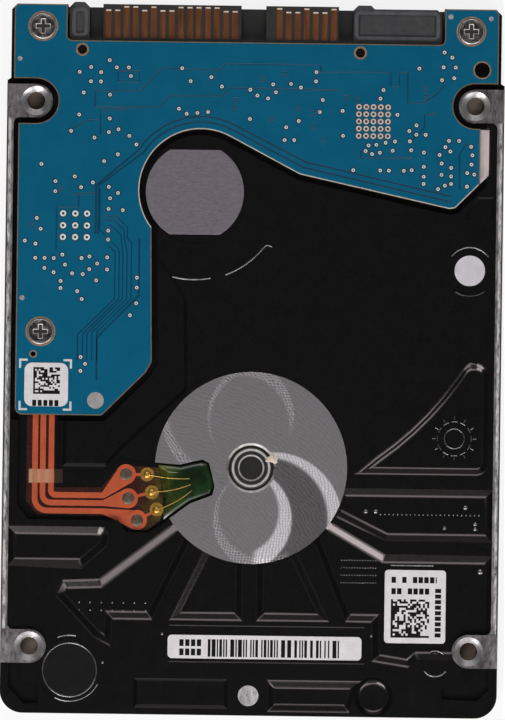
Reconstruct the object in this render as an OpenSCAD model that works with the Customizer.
// A 2.5-inch hard disk drive, lying on its cover with the circuit board up.
// +X runs across the drive, +Y towards the plug connector, +Z out of the board side.
// The origin is the middle of the label on the cover.

/* [Platter and motor] */
// Outer radius of the platter
platter_r = 32.5; // [31.5:0.1:33.5]
// Radius of the hole in the platter
platter_bore_r = 10; // [9.6:0.1:10.4]
// Thickness of the platter
platter_t = 0.635; // [0.5:0.005:0.8]
// Room between the cover's inside and the platter
platter_room = 1.9; // [1.8:0.05:2.2]
// Radius of the spindle shaft
shaft_r = 1.5; // [1.3:0.05:1.6]
// Outer radius of the fixed bearing sleeve
sleeve_r = 2.9; // [2.7:0.05:3]
// Outer radius of the stator
stator_r = 7.4; // [7:0.1:7.6]
// Thickness of the stator's stack of sheets
stator_t = 0.9; // [0.7:0.05:1]
// Number of motor coils
coil_count = 9; // [6:3:12]
// Width that the hub's flange holds of the platter
flange_w = 1.6; // [1.2:0.1:2]
// Thickness of the disk clamp
clamp_t = 0.3; // [0.25:0.05:0.4]

/* [Actuator] */
// Place of the actuator's pivot across the drive, from the spindle
pivot_dx = -8.4; // [-9:0.1:-8]
// Place of the actuator's pivot along the drive, from the spindle
pivot_dy = 38.65; // [38.2:0.05:39.2]
// Radius of the pivot shaft
pivot_r = 1.9; // [1.7:0.05:2]
// Outer radius of the pivot's bearing sleeve
pivot_sleeve_r = 3.9; // [3.7:0.05:4]
// Radius of the arm's hub round the pivot
arm_hub_r = 5.4; // [5.2:0.05:5.6]
// Distance from the pivot to the heads
head_reach = 39; // [38.6:0.1:39.2]
// Direction of the parked arm
park_angle = -24.5; // [-25:0.1:-24]
// Thickness of one arm
arm_t = 0.55; // [0.45:0.05:0.6]
// Room between the base and the platter, for the arm on that side
arm_room = 1.215; // [1.2:0.005:1.4]
// Thickness of a head suspension
suspension_t = 0.1; // [0.08:0.01:0.12]
// Thickness of a head slider
slider_t = 0.23; // [0.2:0.01:0.25]
// Thickness of the voice coil
coil_t = 0.75; // [0.6:0.05:0.85]
// Outer radius of the voice coil
coil_r = 16.4; // [16:0.1:16.6]
// Thickness of each magnet yoke
yoke_t = 0.75; // [0.6:0.05:0.8]
// Turn of the latch between open and closed
latch_turn = 10; // [9:0.5:11]

/* [Cover and base] */
// Length of the drive
body_l = 100; // [99.5:0.1:101]
// Thickness of the label on the cover
label_t = 0.1; // [0.08:0.01:0.15]
// Thickness of the cover sheet
cover_t = 0.4; // [0.35:0.05:0.5]
// Thickness of the cover gasket
gasket_t = 0.3; // [0.25:0.05:0.4]
// Room between the platter's rim and the wall round it
shroud_gap = 0.7; // [0.5:0.05:1]
// Thickness of the side wall next to the platter
side_wall = 1.725; // [1.5:0.025:2]
// Thickness of the end wall next to the platter
end_wall = 1.6; // [1.4:0.1:1.8]
// Thickness of the base under the circuit board
base_floor = 0.7; // [0.6:0.05:0.9]
// Radius of the base's two free corners
corner_r = 3.2; // [2.5:0.1:4]
// Depth of the cast pockets
pocket_depth = 0.45; // [0.3:0.05:0.5]
// Radius of the machined motor plate
plate_r = 13.5; // [13:0.1:14]
// How far the mounting bosses stand above the board side
boss_rise = 0.5; // [0.4:0.05:0.55]

/* [Mounting holes] */
// Spacing of the mounting holes across the drive
hole_span_x = 61.72; // [61.4:0.02:62]
// Spacing of the mounting holes along the drive
hole_span_y = 76.6; // [76.2:0.1:77]
// Distance from the free end to the nearest mounting holes
hole_end = 9.4; // [9.2:0.05:9.6]
// Radius of every mounting hole
hole_r = 1.25; // [1.15:0.05:1.35]
// Depth of every mounting hole
hole_depth = 2.4; // [2:0.1:2.5]
// Distance of the side holes below the board side's bosses
side_hole_drop = 3; // [2.9:0.05:3.1]
// Radius of the boss round a mounting hole
boss_r = 2.35; // [2.2:0.05:2.5]

/* [Circuit board] */
// Thickness of the board
board_t = 0.8; // [0.7:0.05:0.9]
// Room under the board for its chips
chip_room = 1; // [0.95:0.05:1.2]
// Gap between the board's edge and the wall of its recess
board_gap = 0.85; // [0.6:0.05:0.9]
// Clearance of the board round a mounting boss
boss_gap = 0.8; // [0.6:0.05:0.9]
// Radius of the board round the pivot seal
board_arc_r = 8.63; // [8.5:0.01:8.8]
// Radius of a board screw's head
board_screw_r = 1.85; // [1.7:0.05:1.9]
// Thickness of the insulating sheet
insulator_t = 0.15; // [0.1:0.01:0.18]

/* [Plug connector] */
// Pitch of the contacts
contact_pitch = 1.27; // [1.25:0.01:1.28]
// Width of one contact
contact_w = 0.85; // [0.7:0.05:0.9]
// Number of power contacts
power_count = 15; // [15:1:15]
// Number of signal contacts
signal_count = 7; // [7:1:7]
// Depth of the connector along the drive
plug_depth = 5.2; // [5:0.1:5.4]
// Thickness of a tongue
tongue_t = 1.2; // [1.1:0.05:1.3]

/* [Seals and stickers] */
// Radius of the foil over the pivot
pivot_seal_r = 6.9; // [6.5:0.1:7]
// Height of the foil over the pivot between its flats
pivot_seal_h = 11.88; // [11:0.1:12.5]
// Radius of the small foil seal
port_seal_r = 2.15; // [2:0.05:2.4]
// Radius of the breather's seal
breather_seal_r = 3.67; // [3.5:0.05:3.9]
// Thickness of stickers and seals
sticker_t = 0.08; // [0.05:0.01:0.1]
// Length and width of the barcode sticker
barcode_size = [27.25, 3.3];
// Length and width of the square code's sticker
code_size = [8.6, 10.3];
// Length and width of the sticker on the board
board_label_size = [6.15, 6.13];

/* [Motor flex] */
// Width of one conductor
lead_w = 0.92; // [0.8:0.02:0.96]
// Pitch of the conductors
lead_pitch = 1.1; // [1.1:0.01:1.15]
// Thickness of the film
film_t = 0.06; // [0.05:0.01:0.08]
// Thickness of a conductor
lead_t = 0.06; // [0.05:0.01:0.08]

/* [Hidden] */
$fn = 64;
cut = 0.2;
fit = 0.02;
run = 0.03;

// Heights, from the label up
cover_top = label_t + cover_t;
rim_z = cover_top + gasket_t;
platter_z = cover_top + platter_room;
platter_top = platter_z + platter_t;
ceiling_z = platter_top + arm_room;
recess_z = ceiling_z + base_floor;
board_z = recess_z + chip_room;
board_top = board_z + board_t;
screw_head_t = 0.23;
boss_z = board_top + 0.25;
plateau_z = boss_z - boss_rise;
pocket_z = plateau_z - pocket_depth;
rail_z = boss_z - 0.2;
plate_z = plateau_z + 0.1;
flex_z = board_z - 0.35;
well_z = flex_z - 0.5;
flex_top = flex_z + film_t + lead_t;

// Outline
// The base is as wide as the platter and its wall, or as the load ramp and its wall
cavity_r = platter_r + shroud_gap;
tip_len = 3.8;
ramp_lip = 0.4;
ramp_room = 0.3;
ramp_turn = 5;
room_wall = 2.3;
ramp_out_r = head_reach + tip_len + ramp_lip;
ramp_side = pivot_dx + ramp_out_r * cos(park_angle + ramp_turn);
side_x = max(cavity_r + side_wall, ramp_side + ramp_room + room_wall);
end_y = body_l / 2;
spindle = [0, -end_y + end_wall + cavity_r];
pivot = spindle + [pivot_dx, pivot_dy];
hole_y1 = -end_y + hole_end;
hole_y2 = hole_y1 + hole_span_y;
hole_x = hole_span_x / 2;
hole_places = [[-hole_x, hole_y1], [hole_x, hole_y1], [-hole_x, hole_y2], [hole_x, hole_y2]];
side_hole_z = boss_z - side_hole_drop;

// The bay for the connector at the end of the base
ear_w = [8.325, 8.475];
ear_drop = 0.3;
plug_room = 0.6;
bay_left = -side_x + ear_w[0];
bay_right = side_x - ear_w[1];
ear_top = end_y - ear_drop;
base_end = end_y - plug_depth - plug_room;

function along(angle) = [cos(angle), sin(angle)];
function unit(v) = v / norm(v);
function lift(points, z) = [for (p = points) [p[0], p[1], z]];
function shift(points, by) = [for (p = points) p + by];

// Points of a corner rounded with radius r, or the corner itself where r is 0
function corner(before, at, after, r, steps) =
    let (u = unit(before - at), v = unit(after - at), half = acos(max(-1, min(1, u * v))) / 2)
    r == 0 || half > 89 ? [at] :
    let (back = r / tan(half), middle = at + unit(u + v) * r / sin(half))
    let (first = at + u * back - middle, last = at + v * back - middle)
    let (a0 = atan2(first[1], first[0]), turn = atan2(last[1], last[0]) - a0)
    let (way = turn > 180 ? turn - 360 : turn < -180 ? turn + 360 : turn)
    [for (i = [0:steps]) middle + r * along(a0 + way * i / steps)];

// An outline with every corner rounded, with one radius each
function rounded(points, radii, steps = 5) =
    let (n = len(points))
    [for (i = [0:n - 1])
        each corner(points[(i + n - 1) % n], points[i], points[(i + 1) % n], radii[i], steps)];

// An outline moved outwards by d; its points run anticlockwise
function grown(points, d) =
    let (n = len(points))
    [for (i = [0:n - 1])
        let (a = unit(points[i] - points[(i + n - 1) % n]), b = unit(points[(i + 1) % n] - points[i]))
        let (na = [a[1], -a[0]], nb = [b[1], -b[0]])
        points[i] + d * (na + nb) / (1 + na * nb)];

// A cast pocket: flat floor, sides that slope out by the given width up to the board side.
// Every corner of the floor is seen from its first one.
module cast_pocket(floor_points, slope, floor_z = pocket_z) {
    n = len(floor_points);
    rise = plateau_z - floor_z;
    mouth = grown(floor_points, slope * (rise + cut) / rise);
    polyhedron(
        points = concat(lift(floor_points, floor_z), lift(mouth, plateau_z + cut)),
        faces = concat(
            [[for (i = [0:n - 1]) i]],
            [[for (i = [0:n - 1]) n + (n - i) % n]],
            [for (i = [0:n - 1]) let (j = (i + 1) % n) [i, n + i, n + j, j]]));
}

module disc(r, z, t, at = [0, 0]) {
    translate([at[0], at[1], z])
        cylinder(r = r, h = t);
}

module ring(r_in, r_out, z, t, at = [0, 0]) {
    translate([at[0], at[1], z])
        difference() {
            cylinder(r = r_out, h = t);
            translate([0, 0, -cut])
                cylinder(r = r_in, h = t + 2 * cut);
        }
}

module block(size, z, at = [0, 0]) {
    translate([at[0] - size[0] / 2, at[1] - size[1] / 2, z])
        cube([size[0], size[1], size[2]]);
}

module plate(points, z, t) {
    translate([0, 0, z])
        linear_extrude(t)
            polygon(points);
}

// Part of a flat ring, between two directions less than half a turn apart
module ring_part(r_in, r_out, from, to) {
    far = 3 * r_out;
    middle = (from + to) / 2;
    intersection() {
        difference() {
            circle(r = r_out);
            circle(r = r_in);
        }
        polygon([[0, 0], far * along(from), far * along(middle), far * along(to)]);
    }
}

// A flat sticker with rounded corners
module sticker(size, z, at, r) {
    w = size[0] / 2;
    h = size[1] / 2;
    plate(shift(rounded([[-w, -h], [w, -h], [w, h], [-w, h]], [r, r, r, r]), at), z, sticker_t);
}

// Places of the screws
cover_screw_r = 1.9;
cover_screw_shank_r = 0.8;
cover_screw_tip = rim_z + 2.2;
dimple_r = cover_screw_r + 0.35;
dimple_out_r = dimple_r + 0.35;
dimple_z = cover_top + cover_t;
dimple_gap = 0.2;
board_screw_inset = [4.925, 4.785, 5.085];
board_screw_drop = 3.2;
board_screw_up = 18.8;
board_screw_left = [-side_x + board_screw_inset[0], ear_top - board_screw_drop];
board_screw_right = [side_x - board_screw_inset[1], ear_top - board_screw_drop];
board_screw_low = [-side_x + board_screw_inset[2], spindle[1] + board_screw_up];
board_screw_places = [board_screw_left, board_screw_right, board_screw_low];
board_screw_shank_r = 0.9;
board_screw_tip = board_z - 1.6;
cover_screw_inset = 4.6;
cover_screw_end = 4.3;
cover_screw_side = 4;
cover_screw_mid = 15;
cover_screw_up = 4.9;
cover_screw_places = [
    [-side_x + cover_screw_inset, -end_y + cover_screw_end],
    [side_x - cover_screw_inset, -end_y + cover_screw_end],
    board_screw_low,
    [side_x - cover_screw_side, hole_y2 - cover_screw_mid],
    [-side_x + cover_screw_inset, hole_y2 + cover_screw_up],
    [side_x - cover_screw_inset, hole_y2 + cover_screw_up]];

// The cover stops short of the connector's bay
cover_end = base_end - plug_room;

// The hollow for the platter, the actuator and the ramp
// On the latch's side it also clears the open latch's hook
fan_r = coil_r + 0.8;
lug_r = fan_r + 1.4;
latch_room = 1.9;
latch_clear = 0.3;
hook_w = 1.3;
hook_angle = park_angle + 197;
hook_base = pivot + (lug_r + 1.3) * along(hook_angle);
latch_at = pivot + (lug_r + latch_room) * along(197);
hook_way = hook_base - latch_at;
hook_out = latch_at[0] + hook_way[0] * cos(latch_turn) - hook_way[1] * sin(latch_turn);
left_wall = 3.1;
room_left = min(-side_x + left_wall, hook_out - hook_w / 2 - latch_clear);
room_right = side_x - room_wall;
yoke_rim = 1.5;
yoke_gap = 0.15;
yoke_r = coil_r + yoke_rim;
room_top = pivot[1] + yoke_r + yoke_gap;
room_neck = hole_x - 3.7;
room_points = [
    spindle + [-20, 15],
    spindle + [20, 15],
    [room_right, spindle[1] + 15],
    [room_right, pivot[1] - 8],
    [room_neck, pivot[1] - 7],
    [room_neck, room_top],
    [-room_neck, room_top],
    [-room_neck, hole_y2 - 4],
    [room_left, hole_y2 - 5.5],
    [room_left, board_screw_low[1] + 6.9],
    board_screw_low + [3.8, 3.9]];

module room_plan(extra = 0) {
    translate(spindle)
        circle(r = cavity_r + extra, $fn = 128);
    polygon(grown(room_points, extra));
}

// The base seen from above, without the connector's bay
module base_plan(inset = 0) {
    x = side_x - inset;
    y = end_y - inset;
    r = corner_r - inset;
    polygon([[-x, r - y], [r - x, -y], [x - r, -y], [x, r - y], [x, base_end - inset], [-x, base_end - inset]]);
    for (side = [-1, 1])
        translate([side * (x - r), r - y])
            circle(r = r);
}

// The two ears beside the connector
module ear_plan(from) {
    for (ear = [[-side_x, bay_left], [bay_right, side_x]])
        translate([ear[0], from])
            square([ear[1] - ear[0], ear_top - from]);
}

// The ears' outer sides are set in, with a chamfered corner
ear_inset = 0.45;
ear_chamfer = 0.8;
ear_foot = hole_y2 + boss_r + 0.9;
ear_side = side_x - ear_inset;

module ear_sides() {
    for (side = [-1, 1])
        mirror([side > 0 ? 0 : 1, 0, 0])
            plate([
                [ear_side, ear_foot],
                [side_x + cut, ear_foot - ear_inset],
                [side_x + cut, ear_top + cut],
                [ear_side - ear_chamfer, ear_top + cut],
                [ear_side - ear_chamfer, ear_top],
                [ear_side, ear_top - ear_chamfer]], 0, boss_z);
}

// Circuit board
board_side = side_x - 0.9;
board_right = side_x - 3.325;
board_left = -side_x + 1.625;
board_notch = base_end + 0.375;
board_foot = spindle[1] + 7.1;
board_points = [
    [board_left, board_foot],
    spindle + [-21.1, 7.1],
    spindle + [-15, 13.2],
    spindle + [-14.15, 14.7],
    pivot + [-6.05, -4.6],
    pivot + [0.8, 0.25],
    pivot + [4.9, 7.85],
    pivot + [14.7, 2.7],
    pivot + [35.8, -1.9],
    pivot + [36.6, -1.75],
    [board_right, pivot[1] + 1.65],
    [board_right, hole_y2],
    [board_side, hole_y2],
    [board_side, ear_top - 0.1],
    [bay_right, ear_top - 0.1],
    [bay_right, board_notch],
    [bay_left, board_notch],
    [bay_left, ear_top - 0.1],
    [-board_side, ear_top - 0.1],
    [-board_side, hole_y2],
    [board_left, hole_y2]];
board_radii = [1, 0.5, 1, 1, 0, 0, 0, 3, 0.5, 0.5, 0.4, 0, 0, 0.8, 0.3, 0.7, 0.7, 0.3, 0.8, 0, 0];
board_arc = pivot + [0.8, 0.25];
cutout_r = boss_r + boss_gap;
peg_r = 0.55;
peg_drop = 0.9;
peg_places = [[bay_left + 2.14, base_end - peg_drop], [bay_right - 11.86, base_end - peg_drop]];
ear_hole = [side_x - 3.195, ear_top - 8.6];
ear_hole_r = 1.07;
small_hole_r = 0.35;
small_hole = board_screw_low + [-0.98, -3.17];

module board_plan(extra = 0) {
    difference() {
        polygon(rounded(grown(board_points, extra), board_radii));
        translate(board_arc)
            circle(r = board_arc_r - extra);
        for (side = [-1, 1])
            translate([side * hole_x, hole_y2]) {
                circle(r = cutout_r - extra);
                translate([side > 0 ? 0 : -10, extra - cutout_r])
                    square([10, 2 * (cutout_r - extra)]);
            }
    }
}

// Strip where the insulating sheet shows beside the board
strip_right = board_right + 1.3;
strip_top = hole_y2 - cutout_r - 0.1;
strip_points = [
    [board_right - 2, strip_top],
    [board_right - 2, pivot[1] + 3],
    [board_right, pivot[1] + 1.65],
    [strip_right, pivot[1] + 2.9],
    [strip_right, strip_top]];

// Motor flex: three conductors down from the board and across to the motor
flex_x = board_left + 2.7;
flex_start = board_foot + 4.6;
flex_run_y = spindle[1] - 4;
flex_ledge = [flex_x - 2.2, flex_x + 3.4];
ledge_top = flex_start + 0.4;

function flex_recess() = [
    [flex_ledge[0], ledge_top],
    [flex_ledge[0], spindle[1] - 5.6],
    [flex_ledge[0] + 1.6, spindle[1] - 7.6],
    spindle + [-18.6, -7.6],
    spindle + [-17.4, -9.2],
    spindle + [-14.4, -9.3],
    spindle + [-12.6, -8.2],
    spindle + [-11.5, -7.3],
    spindle + [-8.5, -5.1],
    spindle + [-5.4, -3.9],
    spindle + [-5.1, -2.7],
    spindle + [-5.4, -1.3],
    spindle + [-5.9, 0.6],
    spindle + [-6.8, 1.1],
    spindle + [-8.2, 0.8],
    spindle + [-10, 0.35],
    spindle + [-13.6, 0.6],
    spindle + [-18.3, 1.3],
    spindle + [-20.8, -0.5],
    [flex_ledge[1] + 0.4, spindle[1] - 0.5],
    [flex_ledge[1] + 0.4, ledge_top]];

// Seals and small features of the board side
port = [side_x - 4.565, spindle[1] + 28.1];
breather = [-hole_x + 5.71, -end_y + 6.1];
spot = [0, -end_y + 2.8];
spot_r = 1.45;
dimple = [17.6, -end_y + 2.8];
seal_seat = 0.1;
seal_z = plateau_z - seal_seat;
port_ring_r = port_seal_r + 1.25;
breather_ring_r = breather_seal_r + 0.93;
breather_room_r = 2.9;
breather_hole_r = 0.4;

// Fasteners under the seals
pivot_screw_r = 1;
pivot_screw_head_r = 2.2;
pivot_seat_z = ceiling_z + 1.1;
ramp_screw_r = 0.7;
ramp_screw_head_r = 1.3;
ramp_seat_z = ceiling_z + 1;
head_slot = [9, 2.6];
head_slot_at = pivot + [10.9, 11.9];

module pockets() {
    inner = plate_r - 2.5;
    right = side_x - 1.85;
    left = -side_x + 1.85;
    foot = spindle[1] - 20.4;
    rib_slope = 1.05;
    // left of the left radial rib, under the left spoke
    cast_pocket([
        spindle + [-20.8, -17],
        spindle + [-25.6, -17.2],
        spindle + [-26, -18],
        [-21.1, foot - 2.8],
        [-20.4, foot - 3.2],
        [-20.3, foot],
        [-14.3, foot],
        spindle + [-8.6, -8.4],
        spindle + [-8.5, -7.6]], rib_slope);
    // either side of the middle rib
    for (side = [-1, 1])
        mirror([side > 0 ? 0 : 1, 0, 0])
            cast_pocket([
                [2, spindle[1] - inner],
                [2, foot],
                [9.55, foot],
                [5, spindle[1] - inner]], rib_slope);
    // under the right spoke, out to the side rail
    cast_pocket([
        [18.3, foot],
        [18.3, foot - 5.6],
        [22.2, foot - 6.2],
        [23.4, foot - 5.2],
        [right - 4.4, foot - 5.2],
        [right - 3.2, foot - 3.4],
        [right, foot - 3.2],
        [right, spindle[1] - 13],
        spindle + [18.6, -13],
        spindle + [8.9, -7.4],
        [14.2, foot]], rib_slope);
    // over the right spoke
    cast_pocket([
        spindle + [11.8, -3.7],
        spindle + [12.4, -5.6],
        spindle + [19.3, -9],
        [right, spindle[1] - 9],
        [right, spindle[1] - 3.7]], rib_slope);
    // the curved pocket beside the platter's arm sweep, with a round nose
    nose_r = 1.3;
    nose_steps = 7;
    sweep_r = platter_r + 13.4;
    nose_x = side_x - 2.4 - nose_r;
    nose_turn = acos((nose_x - pivot[0]) / (sweep_r + nose_r));
    nose = pivot + (sweep_r + nose_r) * along(-nose_turn);
    tip = spindle + [16.9, 0.2];
    heel = [nose_x + nose_r, tip[1]];
    cast_pocket(concat(
        corner(tip, heel, [heel[0], nose[1]], 0.9, 4),
        [for (i = [0:nose_steps]) nose + nose_r * along((180 - nose_turn) * i / nose_steps)],
        [for (a = [-nose_turn - 2:-4:-57]) pivot + sweep_r * along(a)],
        [tip]), 0.7);
    // left of the motor, under the flex
    lower_right = spindle + [-23.9, -13.1];
    upper_left = [left, spindle[1] - 9.6];
    cast_pocket(concat(
        [[left, spindle[1] - 13.1], lower_right],
        corner(lower_right, spindle + [-19.9, -9.6], upper_left, 0.6, 4),
        [upper_left]), rib_slope);
    // the step beside the board
    cast_pocket([
        spindle + [-22, 12],
        spindle + [-26, 12],
        spindle + [-26, 0.4],
        spindle + [-20.6, 0.4],
        spindle + [-18.4, 2.9],
        spindle + [-9.6, 11],
        spindle + [-9.8, 23.6],
        spindle + [-12, 27],
        spindle + [-14.6, 30.2],
        spindle + [-22, 30.2]], 0.5);
    // the ledge below the board's corner
    cast_pocket([
        [side_x - 5.1, pivot[1] - 3.1],
        [side_x - 1.5, pivot[1] - 3.5],
        [side_x - 1.5, pivot[1] - 0.4],
        [side_x - 3.4, pivot[1] - 0.4]], 0.2, plateau_z - 0.2);
    // two flat pockets along the free end
    cast_pocket([
        [-15.6, -end_y + 1.4],
        [-3.4, -end_y + 1.4],
        [-3.4, -end_y + 4.6],
        [-15.6, -end_y + 4.6]], 0.5);
    cast_pocket([
        [3.6, -end_y + 1.6],
        [13.6, -end_y + 1.6],
        [14.4, -end_y + 4],
        [3.6, -end_y + 4]], 0.9);
}

// Deep corners beside the lower mounting bosses
module corner_cuts() {
    depth = 0.9;
    clear_y = hole_y1 - boss_r - 0.3;
    plate([
        [1.2 - side_x, clear_y],
        [1.2 - side_x, -end_y + 3.6],
        [3.4 - side_x, -end_y + 1.3],
        [5.4 - side_x, -end_y + 1.3],
        [5.6 - side_x, -end_y + 3.8],
        [3 - side_x, -end_y + 4.4],
        [3 - side_x, clear_y]], plateau_z - depth, depth + cut);
    plate([
        [side_x - 7.7, -end_y + 2.6],
        [side_x - 2.9, -end_y + 2.4],
        [side_x - 1.2, -end_y + 4],
        [side_x - 1.2, clear_y],
        [side_x - 4.9, clear_y],
        [side_x - 7.9, -end_y + 3.8]], plateau_z - depth, depth + cut);
}

// Shell of the base with everything that is cut out of the board side
module base_shell() {
    difference() {
        union() {
            translate([0, 0, rim_z])
                linear_extrude(plateau_z - rim_z)
                    union() {
                        base_plan();
                        ear_plan(base_end - 1);
                    }
            translate([0, 0, label_t])
                linear_extrude(rim_z - label_t + cut)
                    ear_plan(cover_end + 0.15);
        }
        pockets();
        corner_cuts();
        ear_sides();
        translate([0, 0, recess_z])
            linear_extrude(boss_z)
                board_plan(board_gap);
        plate(grown(strip_points, 0.15), recess_z, boss_z);
        plate(flex_recess(), flex_z, boss_z);
        disc(port_ring_r, seal_z, boss_z, port);
        disc(breather_ring_r, seal_z, boss_z, breather);
        disc(pivot_seal_r + 0.3, seal_z, boss_z, pivot);
        disc(2.7, plateau_z - 0.7, boss_z, dimple);
    }
}

// A mounting boss and its tab out to the side
module boss(at) {
    disc(boss_r, ceiling_z, boss_z - ceiling_z, at);
    side = at[0] > 0 ? 1 : -1;
    reach = side_x - abs(at[0]);
    block([reach, 2 * boss_r, boss_z - ceiling_z], ceiling_z, at + [side * reach / 2, 0]);
}

rail_w = 0.95;
tab_fillet = 0.8;

// The rails along the sides, filleted into the tabs at both ends
module rails() {
    for (side = [-1, 1]) {
        block([rail_w, hole_span_y, rail_z - ceiling_z], ceiling_z,
            [side * (side_x - rail_w / 2), (hole_y1 + hole_y2) / 2]);
        for (end = [[hole_y1 + boss_r, -1], [hole_y2 - boss_r, 1]]) {
            at = [side * (side_x - rail_w), end[0]];
            inward = at - [2 * side, 0];
            onward = at - [0, 2 * end[1]];
            plate(concat([at], corner(inward, at, onward, tab_fillet, 5)), ceiling_z, rail_z - ceiling_z);
        }
    }
}

// Everything that stands up from the board side
module base_raised() {
    for (at = hole_places)
        boss(at);
    rails();
    difference() {
        disc(plate_r, well_z, plate_z - well_z, spindle);
        plate(flex_recess(), flex_z, boss_z);
    }
    for (at = board_screw_places)
        disc(2.1, recess_z - cut, board_z - recess_z + cut, at);
    for (at = peg_places)
        disc(peg_r, recess_z - cut, board_top - recess_z, at);
    disc(spot_r, pocket_z, plate_z - pocket_z, spot);
    plate([
        [flex_ledge[0], board_foot - 2],
        [flex_ledge[1], board_foot - 2],
        [flex_ledge[1], ledge_top],
        [flex_ledge[0], ledge_top]], recess_z - cut, flex_z - recess_z + cut);
}

// The tube that holds the motor's sleeve and stator
tube_r = sleeve_r + 0.65;
tube_z = platter_z + 0.4;
stator_z = tube_z + 0.15;

module base_bores() {
    disc(sleeve_r + fit, 0, boss_z + 1, spindle);
    translate([spindle[0], spindle[1], plate_z - 0.4])
        cylinder(r1 = sleeve_r + fit, r2 = sleeve_r + 0.9, h = 0.6);
    for (at = hole_places) {
        disc(hole_r, boss_z - hole_depth, hole_depth + cut, at);
        translate([at[0], at[1], boss_z - 0.5])
            cylinder(r1 = hole_r, r2 = hole_r + 0.8 * 0.7 / 0.5, h = 0.7);
        side = at[0] > 0 ? 1 : -1;
        translate([side * (side_x - hole_depth), at[1], side_hole_z])
            rotate([0, side * 90, 0])
                cylinder(r = hole_r, h = hole_depth + cut);
    }
    for (at = cover_screw_places) {
        disc(cover_screw_shank_r + 0.05, label_t - cut, cover_screw_tip + 0.3 - label_t + cut, at);
        disc(dimple_out_r + dimple_gap, label_t - cut, dimple_z + 0.1 - label_t + cut, at);
    }
    for (at = board_screw_places)
        disc(board_screw_shank_r + 0.05, board_screw_tip - 0.3, boss_z, at);
    disc(pivot_screw_r + 0.05, ceiling_z - cut, boss_z, pivot);
    disc(pivot_screw_head_r + 0.2, pivot_seat_z, boss_z, pivot);
    disc(ramp_screw_r + 0.05, ceiling_z - cut, boss_z, port);
    disc(ramp_screw_head_r + 0.15, ramp_seat_z, boss_z, port);
    disc(breather_room_r, rim_z - cut, recess_z - rim_z + cut, breather);
    disc(breather_hole_r, ceiling_z, boss_z, breather);
    block([head_slot[0], head_slot[1], 2], ceiling_z - cut, head_slot_at);
}

module base_casting() {
    color("#16171a")
        difference() {
            union() {
                difference() {
                    union() {
                        base_shell();
                        base_raised();
                    }
                    translate([0, 0, rim_z - cut])
                        linear_extrude(ceiling_z - rim_z + cut)
                            room_plan();
                    disc(plate_r - 0.9, rim_z, well_z - rim_z, spindle);
                }
                disc(tube_r, tube_z, well_z - tube_z + cut, spindle);
            }
            base_bores();
        }
}

// Cover, gasket and label
cover_inset = 0.45;
label_inset = 1.2;

module cover_plan(inset) {
    difference() {
        base_plan(inset);
        translate([-side_x, cover_end])
            square([2 * side_x, body_l]);
    }
}

module top_cover() {
    color("#b9bcc0")
        difference() {
            union() {
                translate([0, 0, label_t])
                    linear_extrude(cover_t)
                        cover_plan(cover_inset);
                for (at = cover_screw_places)
                    disc(dimple_out_r, cover_top - cut, cover_t + cut, at);
            }
            for (at = cover_screw_places) {
                disc(dimple_r, 0, cover_top, at);
                disc(cover_screw_shank_r + 0.05, 0, boss_z, at);
            }
        }
}

module cover_gasket() {
    color("#2b2b2b")
        translate([0, 0, cover_top])
            linear_extrude(gasket_t)
                difference() {
                    cover_plan(cover_inset + 0.4);
                    room_plan(0.15);
                    for (at = cover_screw_places)
                        translate(at)
                            circle(r = dimple_out_r + dimple_gap);
                    translate(breather)
                        circle(r = breather_room_r + 0.15);
                }
}

module cover_label() {
    color("#e9e9e6")
        linear_extrude(label_t)
            difference() {
                cover_plan(cover_inset + label_inset);
                for (at = cover_screw_places) {
                    translate(at)
                        circle(r = dimple_r + 0.4);
                    translate(at + [at[0] > 0 ? 0 : -10, -dimple_r - 0.4])
                        square([10, 2 * (dimple_r + 0.4)]);
                }
                for (side = [-1, 1])
                    translate([side * side_x - 5, -end_y])
                        square([10, cover_screw_places[0][1] + end_y]);
                for (side = [-1, 1])
                    translate([side * side_x - 5, cover_screw_places[4][1]])
                        square([10, 10]);
            }
}

module cross_recess(w, depth, z_open) {
    for (turn = [0, 90])
        rotate([0, 0, turn])
            block([w, w / 4, depth], z_open);
}

module cover_screws() {
    color("#9a9da1")
        for (at = cover_screw_places)
            translate([at[0], at[1], 0])
                difference() {
                    union() {
                        disc(cover_screw_r, label_t + 0.05, cover_t - 0.05);
                        disc(cover_screw_shank_r, cover_top - cut, cover_screw_tip - cover_top + cut);
                    }
                    cross_recess(1.8, 0.5, label_t - 0.2);
                }
}

module circuit_board() {
    color("#1a6f93")
        translate([0, 0, board_z])
            linear_extrude(board_t)
                difference() {
                    board_plan();
                    for (at = board_screw_places)
                        translate(at)
                            circle(r = board_screw_shank_r + 0.15);
                    for (at = peg_places)
                        translate(at)
                            circle(r = peg_r + 0.1);
                    translate(ear_hole)
                        circle(r = ear_hole_r);
                    translate(small_hole)
                        circle(r = small_hole_r);
                }
}

module board_screws() {
    color("#a9adb0")
        for (at = board_screw_places)
            translate([at[0], at[1], 0])
                difference() {
                    union() {
                        disc(board_screw_r, board_top, screw_head_t);
                        disc(board_screw_shank_r, board_screw_tip, board_top - board_screw_tip + 0.1);
                    }
                    cross_recess(1.9, 0.5, board_top + 0.03);
                }
}

module board_insulator() {
    color("#d8d2c0")
        translate([0, 0, recess_z])
            linear_extrude(insulator_t)
                difference() {
                    union() {
                        board_plan(-0.6);
                        polygon(strip_points);
                    }
                    for (at = board_screw_places)
                        translate(at)
                            circle(r = 2.3);
                    for (at = peg_places)
                        translate(at)
                            circle(r = peg_r + 0.3);
                    translate(ear_hole)
                        circle(r = ear_hole_r + 0.3);
                    translate(small_hole)
                        circle(r = small_hole_r + 0.3);
                    translate(head_slot_at)
                        square(head_slot + [0.6, 0.6], center = true);
                    translate([flex_ledge[0] - 0.3, board_foot - 3])
                        square([flex_ledge[1] - flex_ledge[0] + 0.6, ledge_top - board_foot + 3.3]);
                }
}

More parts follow.
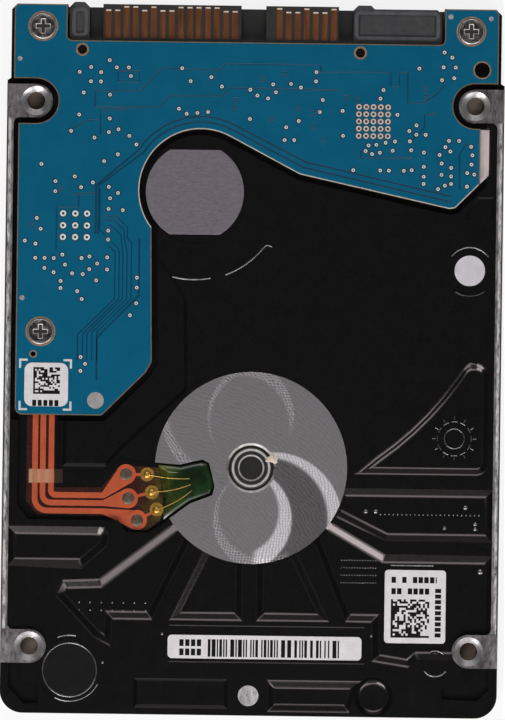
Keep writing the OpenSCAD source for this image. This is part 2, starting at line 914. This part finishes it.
// Chips hang from the underside of the board, over the insulating sheet
chip_gap = 0.2;
chip_t = chip_room - insulator_t - chip_gap;
controller_size = [10, 10];
controller_at = pivot + [24.95, 10.2];
driver_size = [7, 7];
driver_at = pivot + [-16.8, -4.9];
memory_size = [8, 6];
memory_at = pivot + [-7, 14.6];
flash_size = [4.9, 3.9];
flash_t = 0.6;
flash_at = pivot + [-16.6, 10.5];
capacitor_size = [0.8, 1.5];
capacitor_t = 0.5;
capacitor_pitch = [2.2, -3.2];
capacitor_at = [board_left + 4.5, pivot[1] - 10.5];
motor_contact_size = [0.6, 2.4];

module chip(size, h, at) {
    block([size[0], size[1], h], board_z - h, at);
}

module controller_chip() {
    color("#1c1c1e")
        chip(controller_size, chip_t, controller_at);
}

module motor_driver_chip() {
    color("#1c1c1e")
        chip(driver_size, chip_t, driver_at);
}

module memory_chip() {
    color("#222224")
        chip(memory_size, chip_t, memory_at);
}

module flash_chip() {
    color("#222224")
        chip(flash_size, flash_t, flash_at);
}

module board_capacitors() {
    color("#b08a5a")
        for (row = [0:2], column = [0:3])
            chip(capacitor_size, capacitor_t,
                capacitor_at + [capacitor_pitch[0] * column, capacitor_pitch[1] * row]);
}

module motor_contacts() {
    color("#c9a24e")
        for (i = [0:2])
            block([motor_contact_size[0], motor_contact_size[1], board_z - flex_top], flex_top,
                [flex_x + lead_pitch * (i - 0.1), flex_start - 2]);
}

module head_connector() {
    color("#26262a")
        block([head_slot[0] - 0.2, head_slot[1] - 0.2, board_z - ceiling_z], ceiling_z, head_slot_at);
}

// Plug connector; its tongues point out of the end of the drive
plug_back = base_end + 0.05;
plug_face = board_notch + 0.35;
plug_top = board_z;
plug_low = label_t + 1.4;
tongue_end = end_y - 0.25;
power_inset = 5.74;
signal_step = 24.05;
power_first = bay_left + power_inset;
signal_first = power_first + signal_step;
power_tongue = [power_first - 0.75, power_first + (power_count - 1) * contact_pitch + 0.9];
signal_tongue = [signal_first - 1.9, signal_first + (signal_count - 1) * contact_pitch + 0.7];
block_gap = [0.3, 0.4];
foot_gap = 0.05;
left_block = [bay_left + block_gap[0], bay_left + 3.1];
right_block = [signal_first + 10.36, bay_right - block_gap[1]];

module plug_part(x, y, z) {
    translate([x[0], y[0], z[0]])
        cube([x[1] - x[0], y[1] - y[0], z[1] - z[0]]);
}

module guide_block(x, end) {
    chamfer = 0.7;
    plate([
        [x[0], plug_back],
        [x[1], plug_back],
        [x[1], end - chamfer],
        [x[1] - chamfer, end],
        [x[0] + chamfer, end],
        [x[0], end - chamfer]], plug_low, plug_top - plug_low);
}

module sata_connector() {
    color("#2c2d30")
        difference() {
            union() {
                plug_part([left_block[0], right_block[1]], [plug_back, plug_face], [plug_low, plug_top]);
                plug_part([bay_left + foot_gap, bay_right - foot_gap], [plug_back, end_y - 0.55],
                    [plug_low, plug_low + 0.7]);
                for (tongue = [power_tongue, signal_tongue])
                    plug_part(tongue, [plug_face - cut, tongue_end], [plug_top - tongue_t, plug_top]);
                guide_block(left_block, end_y);
                guide_block([right_block[0], right_block[0] + 3.2], end_y);
                guide_block([right_block[0] + 2, right_block[1]], end_y - 0.5);
            }
            plug_part([right_block[0] + 0.95, right_block[1] - 1], [plug_face + 0.5, end_y - 1.1],
                [plug_top - 0.25, plug_top + cut]);
            plug_part([left_block[0] + 0.6, left_block[1] - 0.6], [plug_face + 0.5, end_y - 1.3],
                [plug_top - 0.25, plug_top + cut]);
        }
}

contact_t = 0.06;
contact_start = plug_face + 0.1;
contact_long = tongue_end - 0.25;
contact_short = tongue_end - 0.75;
power_long = [3, 4, 6, 9, 10, 11, 12, 13];
signal_long = [1, 4, 7];

module contact_row(first, count, long) {
    for (i = [1:count])
        let (tip = len([for (k = long) if (k == i) k]) > 0 ? contact_long : contact_short)
            translate([first + (i - 1) * contact_pitch - contact_w / 2, contact_start, plug_top])
                cube([contact_w, tip - contact_start, contact_t]);
}

module power_contacts() {
    color("#8a5a2c")
        contact_row(power_first, power_count, power_long);
}

module signal_contacts() {
    color("#8a5a2c")
        contact_row(signal_first, signal_count, signal_long);
}

// Leads of the motor
pad_rows = [[-17.57, -1.1, -14.6, -1.1], [-17.22, -4.5, -13.9, -3.6], [-15.93, -7.5, -13.2, -6]];
wire_ends = [[-7.8, -1.5], [-7.8, -2.1], [-7.65, -2.7]];
solder_r = 1.4;
gold_r = 0.98;

function film_points() = [
    [flex_x - 1, flex_start],
    [flex_x - 1, flex_run_y - 1],
    [flex_x + 0.6, flex_run_y - 2.9],
    spindle + [-20.5, -7],
    spindle + [-18.2, -7.4],
    spindle + [-17.1, -8.9],
    spindle + [-14.6, -9],
    spindle + [-12.7, -7.6],
    spindle + [-12.2, -5.8],
    spindle + [-12.9, -0.15],
    spindle + [-18.4, 0.2],
    spindle + [-21, -3],
    [flex_x + 3.2, flex_run_y + 0.9],
    [flex_x + 2.9, flex_run_y + 1.2],
    [flex_x + 2.9, flex_start]];

module lead_path(i) {
    x = flex_x + lead_pitch * (i - 0.1);
    knee = spindle[0] - 20.5;
    pad = spindle + [pad_rows[2 - i][0], pad_rows[2 - i][1]];
    down = flex_run_y - lead_pitch * (2 - i);
    h = lead_w / 2;
    bend = lead_w + 0.9;
    polygon([[x - h, flex_start], [x + h, flex_start], [x + h, down + bend], [x + h + 0.9, down + h],
        [knee, down + h], [knee, down - h], [x + 0.2 + h, down - h], [x - h, down + bend - 0.9]]);
    polygon([[knee - cut, down + h], [knee - cut, down - h], pad + [0, -0.6], pad + [0, 0.6]]);
}

module motor_flex() {
    color("#c8602a")
        union() {
            plate(film_points(), flex_z, film_t);
            translate([0, 0, flex_z + film_t / 2])
                linear_extrude(film_t / 2 + lead_t)
                    for (i = [0:2])
                        lead_path(i);
        }
}

tape_size = [4.8, 1.95, 0.05];

module flex_tape() {
    color("#cfc6b4")
        block(tape_size, flex_top, [flex_x + 1.75, spindle[1] - 1.5]);
}

pad_t = 0.08;

module lead_pads() {
    color("#c9a24e")
        for (row = pad_rows) {
            disc(solder_r, flex_top, pad_t, spindle + [row[0], row[1]]);
            disc(gold_r, flex_top, pad_t, spindle + [row[2], row[3]]);
        }
}

wire_r = 0.09;
wire_z = flex_top + 0.3;

module lead_wires() {
    color("#d8b46a")
        for (i = [0:2]) {
            from = spindle + [pad_rows[i][2], pad_rows[i][3]];
            to = spindle + wire_ends[i];
            way = to - from;
            translate([from[0], from[1], wire_z])
                rotate([0, 90, atan2(way[1], way[0])])
                    cylinder(r = wire_r, h = norm(way), $fn = 16);
        }
}

resin_t = 0.25;

module lead_resin() {
    color("#3f7d2a")
        translate([0, 0, flex_z])
            linear_extrude(resin_t)
                difference() {
                    polygon([
                        spindle + [-12.2, -7.4],
                        spindle + [-8.6, -4.9],
                        spindle + [-5.6, -3.7],
                        spindle + [-5.35, -2.7],
                        spindle + [-5.6, -1.3],
                        spindle + [-6.1, 0.4],
                        spindle + [-6.8, 0.8],
                        spindle + [-8.2, 0.55],
                        spindle + [-10, 0.1],
                        spindle + [-13, 0.3]]);
                    polygon(grown(film_points(), 0.05));
                }
}

module flat_foil(r, h, z, at) {
    translate([at[0], at[1], z])
        linear_extrude(sticker_t)
            intersection() {
                circle(r = r);
                square([2 * r + 2, h], center = true);
            }
}

module pivot_seal() {
    color("#a8abae")
        flat_foil(pivot_seal_r, pivot_seal_h, seal_z, pivot);
}

module port_seal() {
    color("#b4b6b8")
        disc(port_seal_r, seal_z, sticker_t, port);
}

module breather_seal() {
    color("#1b1b1d")
        disc(breather_seal_r, seal_z, sticker_t, breather);
}

barcode_at = spindle + [2.22, -25.2];
barcode_corner = 0.6;
code_at = spindle + [23.3, -19.2];
code_corner = 0.5;
board_label_at = [board_left + 4.37, board_foot + 4.25];
board_label_corner = 1.05;

module barcode_label() {
    color("#e6e6e4")
        sticker(barcode_size, plateau_z, barcode_at, barcode_corner);
}

module code_label() {
    color("#e6e6e4")
        sticker(code_size, pocket_z, code_at, code_corner);
}

module board_label() {
    color("#ececea")
        sticker(board_label_size, board_top, board_label_at, board_label_corner);
}

module pivot_screw() {
    color("#8d9094")
        translate([pivot[0], pivot[1], 0])
            difference() {
                union() {
                    disc(pivot_screw_head_r, pivot_seat_z, 0.7);
                    disc(pivot_screw_r, ceiling_z - 1.8, pivot_seat_z - ceiling_z + 2);
                }
                cross_recess(2.4, 0.6, pivot_seat_z + 0.35);
            }
}

module ramp_screw() {
    color("#8d9094")
        translate([port[0], port[1], 0])
            difference() {
                union() {
                    disc(ramp_screw_head_r, ramp_seat_z, 0.7);
                    disc(ramp_screw_r, ceiling_z - 1.2, ramp_seat_z - ceiling_z + 1.4);
                }
                cross_recess(1.4, 0.6, ramp_seat_z + 0.35);
            }
}

// Spindle motor
hub_z = cover_top + 0.65;
hub_plate_t = 0.9;
hub_gap = 0.2;
skirt_top = well_z - 0.6;
skirt_t = 1.25;
flange_r = platter_bore_r + flange_w;
magnet_gap = 0.3;
magnet_r = platter_bore_r - skirt_t;
sleeve_low = hub_z + hub_plate_t + hub_gap;
cap_t = 0.3;
cap_r = sleeve_r - 1.05;
shaft_top = plate_z - 0.75;

module bearing_sleeve() {
    color("#8f8f8c")
        difference() {
            disc(sleeve_r, sleeve_low, plate_z - 0.1 - sleeve_low, spindle);
            disc(shaft_r + run, 0, boss_z, spindle);
            disc(cap_r, shaft_top + 0.05, boss_z, spindle);
        }
}

module thrust_cap() {
    color("#3a3a3c")
        disc(cap_r - fit, shaft_top + 0.08, cap_t, spindle);
}

module stator_core() {
    tooth_w = 1.1;
    color("#6f7174")
        translate([spindle[0], spindle[1], stator_z])
            difference() {
                union() {
                    cylinder(r = tube_r + 1, h = stator_t);
                    for (i = [0:coil_count - 1])
                        rotate([0, 0, i * 360 / coil_count])
                            translate([tube_r + 0.5, -tooth_w / 2, 0])
                                cube([stator_r - tube_r - 1, tooth_w, stator_t]);
                    for (i = [0:coil_count - 1])
                        linear_extrude(stator_t)
                            ring_part(stator_r - 0.6, stator_r, (i - 0.38) * 360 / coil_count,
                                (i + 0.38) * 360 / coil_count);
                }
                translate([0, 0, -cut])
                    cylinder(r = tube_r + fit, h = stator_t + 2 * cut);
            }
}

module stator_coils() {
    wire = 0.35;
    inner = tube_r + 1.15;
    outer = stator_r - 0.75;
    color("#b5651d")
        for (i = [0:coil_count - 1])
            translate([spindle[0], spindle[1], stator_z])
                rotate([0, 0, i * 360 / coil_count])
                    difference() {
                        block([outer - inner, 1.2 + 2 * wire, stator_t + 2 * wire], -wire,
                            [(inner + outer) / 2, 0]);
                        block([outer, 1.2, stator_t + 0.1], -0.05, [(inner + outer) / 2, 0]);
                    }
}

module motor_hub() {
    color("#a7a9ab")
        difference() {
            union() {
                disc(platter_bore_r - fit, hub_z, skirt_top - hub_z, spindle);
                disc(flange_r, platter_top, skirt_top - platter_top, spindle);
            }
            disc(magnet_r, hub_z + hub_plate_t, boss_z, spindle);
            disc(shaft_r + fit, 0, boss_z, spindle);
            for (i = [0:2])
                disc(0.6, hub_z - cut, hub_plate_t + 2 * cut, spindle + 8 * along(120 * i + 30));
        }
}

module spindle_shaft() {
    color("#c4c6c8")
        disc(shaft_r, hub_z + 0.1, shaft_top - hub_z - 0.1, spindle);
}

module rotor_magnet() {
    color("#55585c")
        ring(stator_r + magnet_gap, magnet_r - fit, stator_z - 0.3, stator_t + 0.7, spindle);
}

module disk_platter() {
    color("#d5d8db")
        ring(platter_bore_r, platter_r, platter_z, platter_t, spindle);
}

clamp_z = hub_z - clamp_t;

module disk_clamp() {
    color("#bfc2c5")
        difference() {
            union() {
                disc(flange_r, clamp_z, clamp_t, spindle);
                ring(platter_bore_r + 0.3, flange_r, clamp_z + clamp_t / 2,
                    platter_z - clamp_z - clamp_t / 2, spindle);
            }
            disc(2.5, 0, boss_z, spindle);
            for (i = [0:2])
                disc(0.6, 0, boss_z, spindle + 8 * along(120 * i + 30));
        }
}

module clamp_screws() {
    color("#8d9094")
        for (i = [0:2])
            translate(concat(spindle + 8 * along(120 * i + 30), [0])) {
                disc(1, clamp_z - 0.25, 0.25);
                disc(0.55, clamp_z - 0.05, clamp_t + hub_plate_t);
            }
}

// Actuator
arm_low = platter_z - 0.07 - slider_t - suspension_t - arm_t;
arm_high = platter_top + 0.07 + slider_t + suspension_t;
coil_z = (platter_z + platter_top - coil_t) / 2;
coil_in_r = 9.4;
coil_half = 19;
fan_half = 22;
tip_reach = head_reach + tip_len;

module parked() {
    translate([pivot[0], pivot[1], 0])
        rotate([0, 0, park_angle])
            children();
}

module arm_plan() {
    tip = head_reach - 11;
    difference() {
        union() {
            polygon([[0, -arm_hub_r + 0.3], [12, -3.2], [tip, -1.7], [tip, 1.7], [12, 3.2], [0, arm_hub_r - 0.3]]);
            translate([tip, 0])
                circle(r = 1.7);
        }
        translate([13, 0])
            circle(r = 1.6);
        translate([19, 0])
            circle(r = 1.1);
    }
}

module actuator_arm() {
    color("#b8bbbe")
        parked()
            difference() {
                union() {
                    disc(arm_hub_r, arm_low, arm_high + arm_t - arm_low);
                    translate([0, 0, arm_low])
                        linear_extrude(arm_t)
                            arm_plan();
                    translate([0, 0, arm_high])
                        linear_extrude(arm_t)
                            arm_plan();
                    translate([0, 0, coil_z])
                        rotate([0, 0, 180])
                            linear_extrude(coil_t)
                                difference() {
                                    union() {
                                        ring_part(arm_hub_r - 1, fan_r, -fan_half, fan_half);
                                        ring_part(fan_r - 0.5, lug_r, fan_half - 1.9, fan_half);
                                    }
                                    ring_part(coil_in_r - 0.05, coil_r + 0.05, -coil_half - 0.3, coil_half + 0.3);
                                }
                }
                disc(pivot_sleeve_r + fit, 0, boss_z);
            }
}

module voice_coil() {
    color("#b5651d")
        parked()
            translate([0, 0, coil_z])
                rotate([0, 0, 180])
                    linear_extrude(coil_t)
                        difference() {
                            ring_part(coil_in_r, coil_r, -coil_half, coil_half);
                            ring_part(coil_in_r + 2, coil_r - 2, -coil_half + 8, coil_half - 8);
                        }
}

module pivot_sleeve() {
    color("#9fa2a5")
        parked()
            ring(pivot_sleeve_r - 0.8, pivot_sleeve_r, arm_low - 0.1, arm_high + arm_t - arm_low + 0.2);
}

module pivot_bearings() {
    t = 0.9;
    color("#7d8084")
        parked()
            for (z = [arm_low, arm_high + arm_t - t])
                ring(pivot_r + run, pivot_sleeve_r - 0.8 - fit, z, t);
}

module pivot_shaft() {
    color("#c4c6c8")
        difference() {
            union() {
                disc(pivot_r, cover_top, ceiling_z - cover_top, pivot);
                disc(pivot_r + 0.7, cover_top, arm_low - 0.3 - cover_top, pivot);
            }
            disc(pivot_screw_r + fit, ceiling_z - 2, 3, pivot);
        }
}

module suspension_plan() {
    polygon([
        [head_reach - 12.5, -1.6],
        [head_reach - 3, -0.8],
        [head_reach + 1, -0.8],
        [tip_reach - 2.2, -0.35],
        [tip_reach, -0.35],
        [tip_reach, 0.35],
        [tip_reach - 2.2, 0.35],
        [head_reach + 1, 0.8],
        [head_reach - 3, 0.8],
        [head_reach - 12.5, 1.6]]);
}

module head_suspensions() {
    color("#c9cccf")
        parked()
            for (z = [arm_low + arm_t, arm_high - suspension_t])
                translate([0, 0, z])
                    linear_extrude(suspension_t)
                        suspension_plan();
}

module head_sliders() {
    color("#3c3b3a")
        parked()
            for (z = [arm_low + arm_t + suspension_t, arm_high - suspension_t - slider_t])
                block([1.25, 1, slider_t], z, [head_reach, 0]);
}

// Voice coil motor
yoke_in_r = 7.6;
yoke_from = 88;
yoke_to = 191;
base_yoke_z = ceiling_z - yoke_t;
cover_yoke_z = cover_top + 0.15;
magnet_z = cover_yoke_z + yoke_t;
magnet_t = coil_z - 0.2 - magnet_z;
post_r = 1;
post_places = [pivot + 14 * along(92), pivot + 12.5 * along(187)];

module yoke_plan() {
    difference() {
        translate(pivot)
            ring_part(yoke_in_r, yoke_r, yoke_from, yoke_to);
        for (at = post_places)
            translate(at)
                circle(r = 0.5);
    }
}

module base_side_yoke() {
    color("#7b7e82")
        translate([0, 0, base_yoke_z])
            linear_extrude(yoke_t)
                yoke_plan();
}

module cover_side_yoke() {
    color("#7b7e82")
        translate([0, 0, cover_yoke_z])
            linear_extrude(yoke_t)
                yoke_plan();
}

module voice_coil_magnet() {
    color("#4e5256")
        translate([pivot[0], pivot[1], magnet_z])
            linear_extrude(magnet_t)
                ring_part(coil_in_r + 0.4, coil_r - 0.2, 102, 177);
}

module yoke_posts() {
    color("#9fa2a5")
        for (at = post_places) {
            disc(post_r, magnet_z, base_yoke_z - magnet_z, at);
            disc(0.45, cover_yoke_z + 0.1, base_yoke_z - cover_yoke_z + yoke_t - 0.2, at);
        }
}

stop_r = 0.7;
stop_reach = 15.5;
stop_turn = fan_half + 4;

module crash_stops() {
    color("#2a2a2a")
        for (angle = [park_angle + 180 + stop_turn, park_angle + 180 - 32 - stop_turn])
            disc(stop_r, coil_z - 0.1, base_yoke_z - coil_z + 0.1, pivot + stop_reach * along(angle));
}

// Inertia latch: its hook closes in front of the lug on the parked arm
latch_hub_r = 1.7;
latch_pin_r = 0.8;
hook_tip = pivot + (fan_r + 0.5) * along(hook_angle);
latch_t = coil_t - 0.1;

module strip(from, to, w) {
    side = w / 2 * [-(to - from)[1], (to - from)[0]] / norm(to - from);
    polygon([from - side, to - side, to + side, from + side]);
}

module inertia_latch() {
    color("#3d3f42")
        translate([latch_at[0], latch_at[1], coil_z + 0.05])
            rotate([0, 0, latch_turn])
                difference() {
                    union() {
                        cylinder(r = latch_hub_r, h = latch_t);
                        linear_extrude(latch_t) {
                            strip([0, 0], hook_base - latch_at, hook_w);
                            strip(hook_base - latch_at - 0.6 * along(hook_angle), hook_tip - latch_at, 0.9);
                            strip([0, 0], [0.4, -4], 2.2);
                        }
                    }
                    translate([0, 0, -cut])
                        cylinder(r = latch_pin_r + run, h = latch_t + 2 * cut);
                }
}

module latch_pin() {
    color("#c4c6c8")
        union() {
            disc(latch_pin_r, coil_z - 0.1, ceiling_z - coil_z + 0.1, latch_at);
            disc(latch_hub_r, coil_z + coil_t + 0.1, ceiling_z - coil_z - coil_t - 0.1, latch_at);
        }
}

// Load ramp: the lift tabs of both suspensions park on its two faces
ramp_gap = 0.05;
ramp_low = arm_low + arm_t + suspension_t + ramp_gap;
ramp_high = arm_high - suspension_t - ramp_gap;
ramp_in_r = head_reach + 1.8;
ramp_end = pivot + (ramp_in_r + ramp_out_r) / 2 * along(park_angle + ramp_turn - 1);
ramp_boss_r = 1.8;
ramp_w = 2.4;

module load_ramp() {
    color("#e2ddcf")
        difference() {
            union() {
                translate([pivot[0], pivot[1], ramp_low])
                    linear_extrude(ramp_high - ramp_low)
                        ring_part(ramp_in_r, ramp_out_r, park_angle - 4, park_angle + ramp_turn);
                translate([0, 0, ramp_low])
                    linear_extrude(ramp_high - ramp_low)
                        strip(port, ramp_end, ramp_w);
                disc(ramp_boss_r, ramp_low, ceiling_z - ramp_low, port);
            }
            disc(ramp_screw_r + fit, 0, boss_z, port);
        }
}

// Flex from the arm to its bracket
bracket_size = [11, 4];
bracket_at = head_slot_at;
bracket_low = coil_z;

module flex_bracket() {
    color("#2f3033")
        block([bracket_size[0], bracket_size[1], ceiling_z - bracket_low], bracket_low, bracket_at);
}

module arm_flex() {
    from = pivot + (arm_hub_r + 0.1) * along(12);
    to = bracket_at + [0, -bracket_size[1] / 2 - 0.1];
    bow = [from, from + [3.2, 0], from + [6, 1.2], [to[0] + 0.4, from[1] + 4.5], to];
    color("#b9692f")
        translate([0, 0, coil_z])
            linear_extrude(coil_t)
                for (i = [0:len(bow) - 2])
                    strip(bow[i], bow[i + 1] + 0.05 * unit(bow[i + 1] - bow[i]), 0.12);
}

// Filters
filter_at = pivot + [27, 1.2];

module recirculation_filter() {
    color("#dcdcd6")
        translate([filter_at[0], filter_at[1], rim_z + 0.9])
            rotate([0, 0, -12])
                translate([-4, -0.8, 0])
                    cube([8, 1.6, ceiling_z - rim_z - 0.9]);
}

module breather_filter() {
    color("#e8e8e2")
        disc(breather_room_r - 0.1, recess_z - 2.4, 2.4 - 0.02, breather);
}

base_casting();
top_cover();
cover_gasket();
cover_screws();
cover_label();
circuit_board();
board_screws();
board_insulator();
controller_chip();
motor_driver_chip();
memory_chip();
flash_chip();
board_capacitors();
motor_contacts();
head_connector();
sata_connector();
power_contacts();
signal_contacts();
motor_flex();
flex_tape();
lead_pads();
lead_wires();
lead_resin();
pivot_seal();
port_seal();
breather_seal();
barcode_label();
code_label();
board_label();
pivot_screw();
ramp_screw();
bearing_sleeve();
thrust_cap();
stator_core();
stator_coils();
motor_hub();
spindle_shaft();
rotor_magnet();
disk_platter();
disk_clamp();
clamp_screws();
actuator_arm();
voice_coil();
pivot_sleeve();
pivot_bearings();
pivot_shaft();
head_suspensions();
head_sliders();
base_side_yoke();
cover_side_yoke();
voice_coil_magnet();
yoke_posts();
crash_stops();
inertia_latch();
latch_pin();
load_ramp();
flex_bracket();
arm_flex();
recirculation_filter();
breather_filter();
